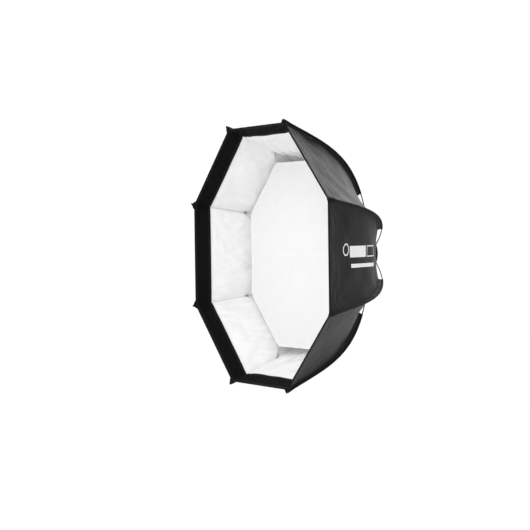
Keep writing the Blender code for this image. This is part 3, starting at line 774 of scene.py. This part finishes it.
def diffuser_corner(k):
    """The diffuser's corner in the frame of rib k, as (radius, across)."""
    reach = (DIFFUSER_SIDE_R + DIFFUSER_DIAGONAL_R) / (2 * MITRE)
    aside = (DIFFUSER_DIAGONAL_R - DIFFUSER_SIDE_R) / (2 * math.sin(PITCH / 2))
    return reach, aside if k % 2 == 0 else -aside


def diffuser_corners():
    """The corners as (x, z) points."""
    found = []
    for k in PANELS:
        reach, aside = diffuser_corner(k)
        angle = PITCH * (k + 0.5) + math.atan2(aside, reach)
        radius = math.hypot(reach, aside)
        found.append((radius * math.cos(angle), radius * math.sin(angle)))
    return np.array(found)


def diffuser_edge(inset=0.0):
    """Evenly spaced (x, z) points round the diffuser's slightly hollow sides, moved in by an inset."""
    corners = diffuser_corners()
    found = []
    for k in PANELS:
        share = np.linspace(0.0, 1.0, DIFFUSER_STEPS + 1)[:-1, None]
        start, end = corners[k], corners[(k + 1) % SIDES]
        line = start + (end - start) * share
        normal = PITCH * (k + 1)
        hollow = SIDE_HOLLOW * 4.0 * share * (1.0 - share) + inset
        mitre = inset * math.tan(PITCH / 2) * (1.0 - 2.0 * share) * unit(end - start)
        found.append(line - hollow * np.array((math.cos(normal), math.sin(normal))) + mitre)
    return np.concatenate(found)


def diffuser_lift(x, z):
    """Height of the diffuser's soft creases, which fan out from its corners."""
    rng = np.random.default_rng(SEED + DIFFUSER_SEED)
    lift = 0.0006 * ripple(rng, x, z, 0.22, 0.22)
    for corner in diffuser_corners():
        dx, dz = x - corner[0], z - corner[1]
        far = np.hypot(dx, dz)
        turned = np.arctan2(dz, dx) - math.atan2(corner[1], corner[0])
        crease = 0.0014 * np.cos(14.0 * turned)
        lift = lift + crease * np.exp(-far / 0.07) * far / (far + 0.02)
    return lift


def diffuser_points(flat):
    """Points of the cloth above flat (x, z) points."""
    x, z = flat[..., 0], flat[..., 1]
    return np.stack((x, DIFFUSER_Y + diffuser_lift(x, z), z), -1)


def build_diffuser():
    """The inner cloth, with its hem and the seam across its middle."""
    shares = np.linspace(0.0, 1.0, 60)[1:, None, None]
    flat = diffuser_edge()[None] * shares
    points = diffuser_points(flat)
    uv = np.concatenate((flat, flat[:, :1]), 1)
    mesh = grid_mesh("diffuser_cloth", points, uv, wrap=True)
    fill_centre(mesh, points.shape[1])
    made = add_object("diffuser_cloth", mesh, DIFFUSER, ["inner_diffuser"])
    solidify(made, DIFFUSER_CLOTH)
    hem, middle = build_hem(), build_middle_seam()


def fill_centre(mesh, count):
    """Closes the hole in the middle of a ring of points."""
    bm = bmesh.new()
    bm.from_mesh(mesh)
    bm.verts.ensure_lookup_table()
    face = bm.faces.new([bm.verts[i] for i in range(count)][::-1])
    face.smooth = True
    bmesh.ops.triangulate(bm, faces=[face])
    bmesh.ops.recalc_face_normals(bm, faces=bm.faces)
    bm.to_mesh(mesh)
    bm.free()


def build_hem():
    """The folded and stitched edge of the diffuser."""
    half = HEM_HALF_THICKNESS
    section = [(HEM_WIDTH, -half), (HEM_WIDTH, half), (-0.0006, half), (-0.0016, 0.0), (-0.0006, -half)]
    rows = []
    for inset, lift in section:
        edge = diffuser_points(diffuser_edge(inset))
        edge[..., 1] += lift
        rows.append(edge)
    return add_hoop("diffuser_hem", np.array(rows), HEM)


def build_middle_seam():
    """The flat-felled seam that joins the diffuser's two halves."""
    reach = DIFFUSER_SIDE_R - HEM_WIDTH - SIDE_HOLLOW
    x = np.linspace(-reach, reach, 90)
    half, flat_half = FELL_HALF_WIDTH, FELL_HALF_WIDTH - 0.001
    front = [(-half, 0.0001), (-flat_half, 0.0004), (flat_half, 0.0004), (half, 0.0001)]
    section = front + [(half, -0.0006), (-half, -0.0006)]
    rows = []
    for across, lift in section:
        points = diffuser_points(np.stack((x, np.full_like(x, across)), -1))
        points[:, 1] -= lift
        rows.append(points)
    return add_tube("diffuser_seam", np.array(rows).transpose(1, 0, 2), HEM)


# ---- Hangers of the diffuser ----
ANCHOR_FROM_SEAM = 0.006  # where the hook holds, inside the outer face of the shell's seam
HOOK_LENGTH = 0.014  # from the strap's end to there
STRAP_OVERLAP = 0.22  # share of the strap's length that lies on the hem
STRAP_HALF_WIDTH = 0.0040
STRAP_NARROWING = 0.0005  # how much the stretched strap narrows in the middle
STRAP_HALF_THICKNESS = 0.0005
WIRE_R = 0.0010  # of the hook, and half the thickness of its loop
LOOP_HALF_WIDTH = 0.004


def build_hanger(k):
    """An elastic strap from the diffuser's corner to the hook that holds it to the shell's seam."""
    angle = PITCH * (k + 0.5)
    corner, aside = diffuser_corner(k)
    anchor = float(seam(np.array(DIFFUSER_T))[0]) - ANCHOR_FROM_SEAM
    outer = anchor - HOOK_LENGTH
    share = np.linspace(-STRAP_OVERLAP, 1.0, 34)
    r = corner + (outer - corner) * share
    across = aside * (anchor - r) / (anchor - corner)
    on_hem = smoothstep(1.0 - (share + STRAP_OVERLAP) / 0.3)
    bow = np.sin(np.clip(share, 0.0, 1.0) * math.pi)
    lift = 0.0016 * on_hem + 0.0008 * bow
    section = rounded_strap(STRAP_HALF_WIDTH - STRAP_NARROWING * bow, STRAP_HALF_THICKNESS)
    points = np.empty((len(share), section.shape[1], 3))
    points[..., 0] = r[:, None]
    points[..., 1] = DIFFUSER_Y - lift[:, None] - section[..., 1]
    points[..., 2] = across[:, None] + section[..., 0]
    # The strap's material is white elastic with painted shade in its grey colour.
    add_tube(f"elastic_{k + 1}", turn(points, angle), ELASTIC_PAINTED_SHADE, [f"diffuser_hanger_{k + 1}"])
    build_hook(k, outer, aside * (anchor - outer) / (anchor - corner))


def build_hook(k, r, across):
    """A bent plastic hook: an eye for the strap and a crook through the loop that is sewn to the seam."""
    angle, y = PITCH * (k + 0.5), DIFFUSER_Y
    side = STRAP_HALF_WIDTH
    eye = [(0.003, -side), (-0.001, -side), (-0.001, side), (0.003, side), (0.0055, 0.0)]
    radius = 0.003
    crook = [(0.0125 + radius * math.sin(a), radius - radius * math.cos(a)) for a in np.linspace(0.0, 3.9, 9)]
    path = [(r + p, y, across + w) for p, w in eye] + [(r + p, y - w, across * 0.6) for p, w in crook]
    points = tube_points(smooth_path(path, 70), WIRE_R, 8)
    add_tube(f"hanger_hook_{k + 1}", turn(points, angle), HOOK)
    inside = float(seam(np.array(DIFFUSER_T))[0]) - 0.0035
    half = [(0.001, -LOOP_HALF_WIDTH), (-0.005, -0.0025), (-0.009, 0.0)]
    loop = half + [(p, -w) for p, w in half[-2::-1]]
    path = [(inside + p, y + w, 0.0) for p, w in loop]
    points = tube_points(smooth_path(path, 24), WIRE_R, 8, (1.0, 2.4))
    add_tube(f"seam_loop_{k + 1}", turn(points, angle), LOOP)


def rounded_strap(half, thick):
    """Sections of a flat strap with rounded edges, as (across, up) points, one row for each half width."""
    rows = []
    for h in half:
        angles = np.linspace(-math.pi / 2, math.pi / 2, 5)
        right = [(h - thick + thick * math.cos(a), thick * math.sin(a)) for a in angles]
        rows.append(right + [(-x, -u) for x, u in right])
    return np.array(rows)


def smooth_path(points, count):
    """Evenly spaced points on a smooth curve through the given ones."""
    points = np.array(points, float)
    padded = np.vstack((2 * points[0] - points[1], points, 2 * points[-1] - points[-2]))
    found = []
    for a, b, c, d in zip(padded, padded[1:], padded[2:], padded[3:]):
        for u in np.linspace(0.0, 1.0, 12)[:-1]:
            square, cube = 2 * a - 5 * b + 4 * c - d, 3 * b - a - 3 * c + d
            found.append(0.5 * (2 * b + (c - a) * u + square * u**2 + cube * u**3))
    found = np.array(found + [points[-1]])
    along = lengths(found)
    even = np.linspace(0.0, along[-1], count)
    return np.stack([np.interp(even, along, found[:, i]) for i in range(3)], -1)


def tube_points(path, radius, sides, stretch=(1.0, 1.0)):
    """Rings of points round a path. stretch widens the section in its two directions."""
    along = unit(np.gradient(path, axis=0))
    side = np.cross(along, (0.0, 1.0, 0.0))
    flat = np.linalg.norm(side, axis=1) < 0.2
    side[flat] = np.cross(along[flat], (0.0, 0.0, 1.0))
    side = unit(side)
    up = np.cross(side, along)
    ring = circle(radius, sides) * np.array(stretch)
    return path[:, None] + ring[None, :, :1] * side[:, None] + ring[None, :, 1:] * up[:, None]


# ---- Speed ring ----
TURNED_STEPS = 144
GRIP_GROOVE = 0.0012  # depth of the two grooves round the speed ring
GROOVE_FROM_EDGE = 0.0060  # from the ring's face to the near lip of a groove
GROOVE_WALL = 0.0008  # slope of a groove's sides
GROOVE_FLOOR = 0.0016
RING_EDGE = 0.0015  # chamfer of its outer edges
RING_STEP = 0.0006  # the raised middle of its rear face
BOSS_R, BOSS_BORE_R = 0.0062, 0.0029
BOSS_HEIGHT = 0.0036  # above the ring
BOSS_ROOT = 0.004  # below the ring's surface
FLANGE = 0.004  # thickness of the hub's seat flange
HUB_EDGE = 0.0006
LUGS = 3
LUG_HEIGHT = 0.0035
LUG_NEAR, LUG_FAR = 0.009, 0.0125  # behind the seat
LUG_HALF_ANGLE = math.radians(18.0)
LUG_EDGE = 0.0004
KNOB_LOBES = 8
LOBE_DEPTH = 0.0016
THREAD_R = 0.003
THREAD_PITCH = 0.001
THREAD_HEIGHT = 0.00028


def turned_points(profile):
    """A closed grid from a closed (radius, y) profile turned round the axis."""
    profile = np.array(profile, float)
    angles = np.linspace(0.0, math.tau, TURNED_STEPS + 1)[:-1]
    r, y = profile[:, 0][:, None], profile[:, 1][:, None]
    return np.stack((r * np.cos(angles), y + 0.0 * angles, r * np.sin(angles)), -1)


def groove(y, direction):
    """Profile of a groove round the speed ring, that starts at y and goes on towards the direction."""
    walls = (0.0, GROOVE_WALL, GROOVE_WALL + GROOVE_FLOOR, 2 * GROOVE_WALL + GROOVE_FLOOR)
    depths = (0.0, GRIP_GROOVE, GRIP_GROOVE, 0.0)
    return [(RING_R - depth, y + direction * wall) for wall, depth in zip(walls, depths)]


def build_speed_ring():
    """The ring that the rods plug into, with a boss round each socket's mouth."""
    front, rear, low_rear = RING_FRONT_Y, RING_REAR_Y, RING_REAR_Y - RING_STEP
    rear_face = [(RING_BORE_R, rear), (RING_R - 0.006, rear), (RING_R - 0.005, low_rear)]
    rear_edge = [(RING_R - RING_EDGE, low_rear), (RING_R, low_rear - RING_EDGE)]
    rear_groove = groove(rear - GROOVE_FROM_EDGE, -1)
    front_groove = groove(front + GROOVE_FROM_EDGE, 1)[::-1]
    front_edge = [(RING_R, front + RING_EDGE), (RING_R - RING_EDGE, front), (RING_R - 0.004, front)]
    profile = [(RING_BORE_R, front)] + rear_face + rear_edge + rear_groove + front_groove + front_edge
    add_hoop("turning_ring", turned_points(profile), BLACK_METAL, ["speed_ring"])
    for k in PANELS:
        build_boss(k)


def build_boss(k):
    """The raised mouth of a rod's socket, with a lead-in chamfer."""
    sides = 28
    outside = [(-BOSS_ROOT, BOSS_R), (0.0006, BOSS_R), (0.0030, 0.0056)]
    mouth_edge = [(BOSS_HEIGHT, 0.0050), (BOSS_HEIGHT, 0.0036)]
    bore = [(0.0020, BOSS_BORE_R), (-BOSS_ROOT, BOSS_BORE_R)]
    across = np.array((-REACH[1], REACH[0]))
    mouth = rod_curve(MOUTH_T)
    rows = []
    for step, radius in outside + mouth_edge + bore:
        ring = circle(radius, sides)
        flat = mouth + step * REACH + ring[:, :1] * across
        rows.append(np.concatenate((flat, ring[:, 1:]), 1))
    points = turn(np.array(rows), PITCH * (k + 0.5))
    add_hoop(f"socket_boss_{k + 1}", points, BLACK_METAL)


def build_hub():
    """The fixed bayonet hub: seat flange, barrel and lugs."""
    low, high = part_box("bayonet_ring")
    front, length, seat = low.y, high.y, high.z
    bore, edge, groove_depth = BARREL_R - BARREL_WALL, HUB_EDGE, 0.0004
    barrel_end = [(bore, length - edge), (bore + edge, length)]
    barrel_end += [(BARREL_R - edge, length), (BARREL_R, length - edge)]
    root = [(BARREL_R, 0.0012), (BARREL_R + 0.0008, 0.0)]
    seat_groove = [(seat - 0.012, 0.0), (seat - 0.0115, -groove_depth)]
    seat_groove += [(seat - 0.009, -groove_depth), (seat - 0.0085, 0.0)]
    flange = [(seat - edge, 0.0), (seat, -edge), (seat, edge - FLANGE), (seat - edge, -FLANGE)]
    journal = [(JOURNAL_R, -FLANGE), (JOURNAL_R, front)]
    profile = [(bore, front)] + barrel_end + root + seat_groove + flange + journal
    points = turned_points(profile)
    add_hoop("bayonet_hub_body", points, HUB_METAL, ["bayonet_ring"], "bayonet_hub")
    for k in range(LUGS):
        build_lug(k)


def build_lug(k):
    """A bayonet lug with a lead-in slope at its front end."""
    root = BARREL_R - 0.001
    rows = []
    for share in np.linspace(-1.0, 1.0, 15):
        angle = math.tau * k / LUGS + math.tau / 4 + LUG_HALF_ANGLE * share
        top = BARREL_R + LUG_HEIGHT - 0.0012 * max(share - 0.6, 0.0) / 0.4
        back = LUG_FAR - 0.0010 * max(share - 0.5, 0.0) / 0.5
        near_side = [(root, LUG_NEAR), (top - LUG_EDGE, LUG_NEAR), (top, LUG_NEAR + LUG_EDGE)]
        far_side = [(top, back - LUG_EDGE), (top - LUG_EDGE, back), (root, back)]
        rows.append([(r * math.cos(angle), y, r * math.sin(angle)) for r, y in near_side + far_side])
    add_tube(f"hub_lug_{k + 1}", np.array(rows), HUB_METAL, (), "bayonet_hub")


def radial_points(rows):
    """Rings of points along -X through the middle of the ring, from (distance, radii, angles) rows."""
    points = []
    for far, radii, angles in rows:
        along = np.full(len(angles), -far)
        points.append(np.stack((along, RING_MID_Y + radii * np.cos(angles), radii * np.sin(angles)), -1))
    return np.array(points)


def build_lock():
    """The thumbscrew: a moulded knob with soft lobes on a threaded shank."""
    low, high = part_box("lock_knob")
    start, end, radius = -high.x, -low.x, high.z
    neck = [(start, 0.62, 0.0), (start + 0.0004, 0.66, 0.0), (start + 0.0030, 0.68, 0.0)]
    shoulder = [(start + 0.0040, 0.94, 0.6), (start + 0.0046, 0.98, 1.0)]
    crown = [(end - 0.0018, 0.98, 1.0), (end - 0.0008, 0.93, 0.8), (end, 0.80, 0.2)]
    dimple = [(end, 0.50, 0.0), (end - 0.0006, 0.46, 0.0)]
    angles = np.linspace(0.0, math.tau, 97)[:-1]
    hollow = 0.5 - 0.5 * np.cos(KNOB_LOBES * angles)
    rows = []
    for far, share, depth in neck + shoulder + crown + dimple:
        rows.append((far, radius * share - LOBE_DEPTH * depth * hollow, angles))
    add_tube("lock_knob_grip", radial_points(rows), PLASTIC, ["lock_knob"], "lock_grip")
    shank_low, shank_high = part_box("lock_screw")
    angles = np.linspace(0.0, math.tau, 29)[:-1]
    rows = []
    for far in np.arange(-shank_high.x, -shank_low.x, THREAD_PITCH / 6):
        ridge = np.cos(math.tau * far / THREAD_PITCH - angles)
        rows.append((far, THREAD_R - THREAD_HEIGHT + THREAD_HEIGHT * ridge, angles))
    add_tube("lock_thread", radial_points(rows), BARE_METAL, ["lock_screw"], "lock_shank")


# ---- Print ----
def panel_patch(name, rows):
    """A thin print on panel 0 through rows of (s, across) points."""
    s, across = rows[..., 0], rows[..., 1]
    mesh = grid_mesh(name, panel_point(0, s, across / half_width(s), -PRINT_LIFT))
    add_object(name, mesh, PRINT)


def build_print():
    """A plain octagon outline, a framed bar and two solid bars, printed on the side panel."""
    turns = np.linspace(0.0, math.tau, SIDES + 1) + PITCH / 2
    octagon = subdivided(np.stack((np.cos(turns), np.sin(turns)), -1), 6)
    radii = (PRINT_ICON_R, PRINT_ICON_R - PRINT_LINE)
    panel_patch("print_octagon", np.array([np.array(PRINT_ICON) + octagon * radius for radius in radii]))
    low, high, base, tall = PRINT_FRAME
    top = base + tall
    rectangle = np.array(((low, base), (high, base), (high, top), (low, top), (low, base)))
    middle = rectangle[:4].mean(0)
    inside = rectangle + PRINT_FRAME_LINE * np.sign(middle - rectangle)
    panel_patch("print_frame", np.array([subdivided(outline, 12) for outline in (rectangle, inside)]))
    for number, (low, high, base, tall) in enumerate(PRINT_BARS):
        s, w = np.meshgrid(np.linspace(low, high, 40), np.linspace(base, base + tall, 8), indexing="ij")
        panel_patch(f"print_bar_{number + 1}", np.stack((s, w), -1))


def subdivided(points, steps):
    """The same open line of points, with each stretch cut into steps."""
    share = np.linspace(0.0, 1.0, steps + 1)[:-1, None]
    parts = [a + (b - a) * share for a, b in zip(points, points[1:])]
    return np.concatenate(parts + [points[-1:]])


# ---- Stage ----
FLOOR_R, FLOOR_Z = 14.0, -1.35
SURROUND_STRENGTH = 1.04
CAMERA_AZIMUTH = math.radians(58.784)  # from straight ahead of the rim, towards +X
CAMERA_ELEVATION = math.radians(1.319)
CAMERA_ROLL = math.radians(-0.770)
CAMERA_DISTANCE = 6.5435  # from the middle of the rim
CAMERA_RIGHT, CAMERA_UP = 0.0314, -0.0387  # its offset, square to the view
LENS_MM, SENSOR_MM = 104.07, 36.0


def build_stage():
    """A pale floor, a white surround and two soft lights."""
    place = (0.0, 0.0, FLOOR_Z)
    bpy.ops.mesh.primitive_circle_add(vertices=128, radius=FLOOR_R, fill_type="NGON", location=place)
    floor = bpy.context.object
    floor.name = "floor"
    material = shader_of("pale floor", (0.97, 0.97, 0.97), 0.9, specular=0.1)[0]
    floor.data.materials.append(material)
    world = bpy.data.worlds.new("white surround")
    world.use_nodes = True
    background = world.node_tree.nodes["Background"]
    background.inputs["Color"].default_value = (1.0, 1.0, 1.0, 1.0)
    background.inputs["Strength"].default_value = SURROUND_STRENGTH
    bpy.context.scene.world = world
    bpy.context.scene.view_settings.view_transform = "Standard"
    area_light("rear overhead", (-1.35, 2.3, 1.9), (0.1, -0.3, 0.2), 2.0, 32.0)
    area_light("front fill", (1.9, -2.8, 3.3), (-0.2, -0.4, -0.1), 1.8, 40.0)


def area_light(name, place, target, size, power):
    data = bpy.data.lights.new(name, "AREA")
    data.size, data.energy = size, power
    made = bpy.data.objects.new(name, data)
    made.location = place
    made.rotation_mode = "QUATERNION"
    made.rotation_quaternion = (Vector(target) - Vector(place)).to_track_quat("-Z", "Y")
    made.visible_camera = False
    bpy.context.scene.collection.objects.link(made)


def build_camera():
    """The photo's camera, fitted to the corners of the rim."""
    aside, ahead = math.sin(CAMERA_AZIMUTH), math.cos(CAMERA_AZIMUTH)
    flat = math.cos(CAMERA_ELEVATION)
    back = Vector((aside * flat, -ahead * flat, math.sin(CAMERA_ELEVATION)))
    level = Vector((ahead, aside, 0.0))
    rise = back.cross(level)
    right = math.cos(CAMERA_ROLL) * level + math.sin(CAMERA_ROLL) * rise
    up = math.cos(CAMERA_ROLL) * rise - math.sin(CAMERA_ROLL) * level
    data = bpy.data.cameras.new("camera")
    data.sensor_width, data.lens = SENSOR_MM, LENS_MM
    made = bpy.data.objects.new("camera", data)
    offset = CAMERA_RIGHT * right + CAMERA_UP * up
    place = Vector((0.0, -RIM_TO_SEAT, 0.0)) + CAMERA_DISTANCE * back + offset
    axes = Matrix((right, up, back)).transposed().to_4x4()
    made.matrix_world = Matrix.Translation(place) @ axes
    bpy.context.scene.collection.objects.link(made)
    bpy.context.scene.camera = made


# ---- Materials, with their colour, roughness, and thread pitch and relief or grain ----
NYLON = cloth("black nylon", (0.009, 0.009, 0.0093), 0.52, 0.0011, 0.00005, specular=0.12, crinkle=0.0006)
SLEEVE = cloth("sleeve nylon", (0.009, 0.009, 0.009), 0.65, 0.0009, 0.00006, specular=0.12, crinkle=0.0004)
LINING = cloth(
    "light lining", (0.86, 0.86, 0.855), 0.42, 0.0012, 0.00004, specular=0.5, amount=0.02, crinkle=0.0013
)
WEBBING = cloth("black webbing", (0.006, 0.006, 0.006), 0.8, 0.0012, 0.00020, specular=0.12, rib=True)
PILE = pile("black pile", (0.0045, 0.0047, 0.0045))
DIFFUSER = cloth("white diffuser cloth", (0.87, 0.87, 0.87), 0.75, 0.0009, 0.00003, specular=0.2, amount=0.01)
HEM = cloth("diffuser hem", (0.885, 0.885, 0.885), 0.7, 0.0009, 0.00005, specular=0.2, amount=0.01)
# The straps are white elastic. Their grey base colour is painted shade: the grey they show in shadow.
ELASTIC_PAINTED_SHADE = cloth("light grey elastic", (0.50, 0.50, 0.50), 0.7, 0.0008, 0.00015, specular=0.25, rib=True)
PLASTIC = moulded("black plastic", (0.018, 0.018, 0.018), 0.42)
SEAM_TAPE = cloth("lining seam", (0.50, 0.50, 0.50), 0.6, 0.0009, 0.00004, specular=0.2, amount=0.05)
HOOK = moulded("grey hook plastic", (0.20, 0.20, 0.20), 0.4)
LOOP = cloth("grey seam loop", (0.30, 0.30, 0.30), 0.7, 0.0008, 0.00012, specular=0.2, rib=True)
BLACK_METAL = metal("black anodised aluminium", (0.030, 0.030, 0.032), 0.38, 0.00002)
HUB_METAL = metal("satin aluminium", (0.55, 0.55, 0.56), 0.32, 0.00002)
BARE_METAL = metal("plated steel", (0.52, 0.52, 0.53), 0.28, 0.00001)
SPRING_STEEL = metal("spring steel", (0.045, 0.045, 0.047), 0.36, 0.00001)
RUBBER = moulded("black rubber", (0.015, 0.015, 0.015), 0.7, 0.25)
PRINT = cloth("white print", (0.72, 0.72, 0.72), 0.55, 0.0011, 0.00004, specular=0.3, amount=0.04)

NODE_MATERIALS = {"retaining_ring": BLACK_METAL, "retainer_screw": BARE_METAL, "rod_cap": RUBBER}
for name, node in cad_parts.items():
    for start, material in NODE_MATERIALS.items():
        if name.startswith(start):
            node.data.materials.clear()
            node.data.materials.append(material)

build_stage()
build_camera()
build_shell()
build_rim()
for rib in PANELS:
    build_sleeve(rib)
    build_rod(rib)
    build_pocket(rib)
    build_lining_seam(rib)
    build_hanger(rib)
build_diffuser()
build_speed_ring()
build_hub()
build_lock()
build_print()
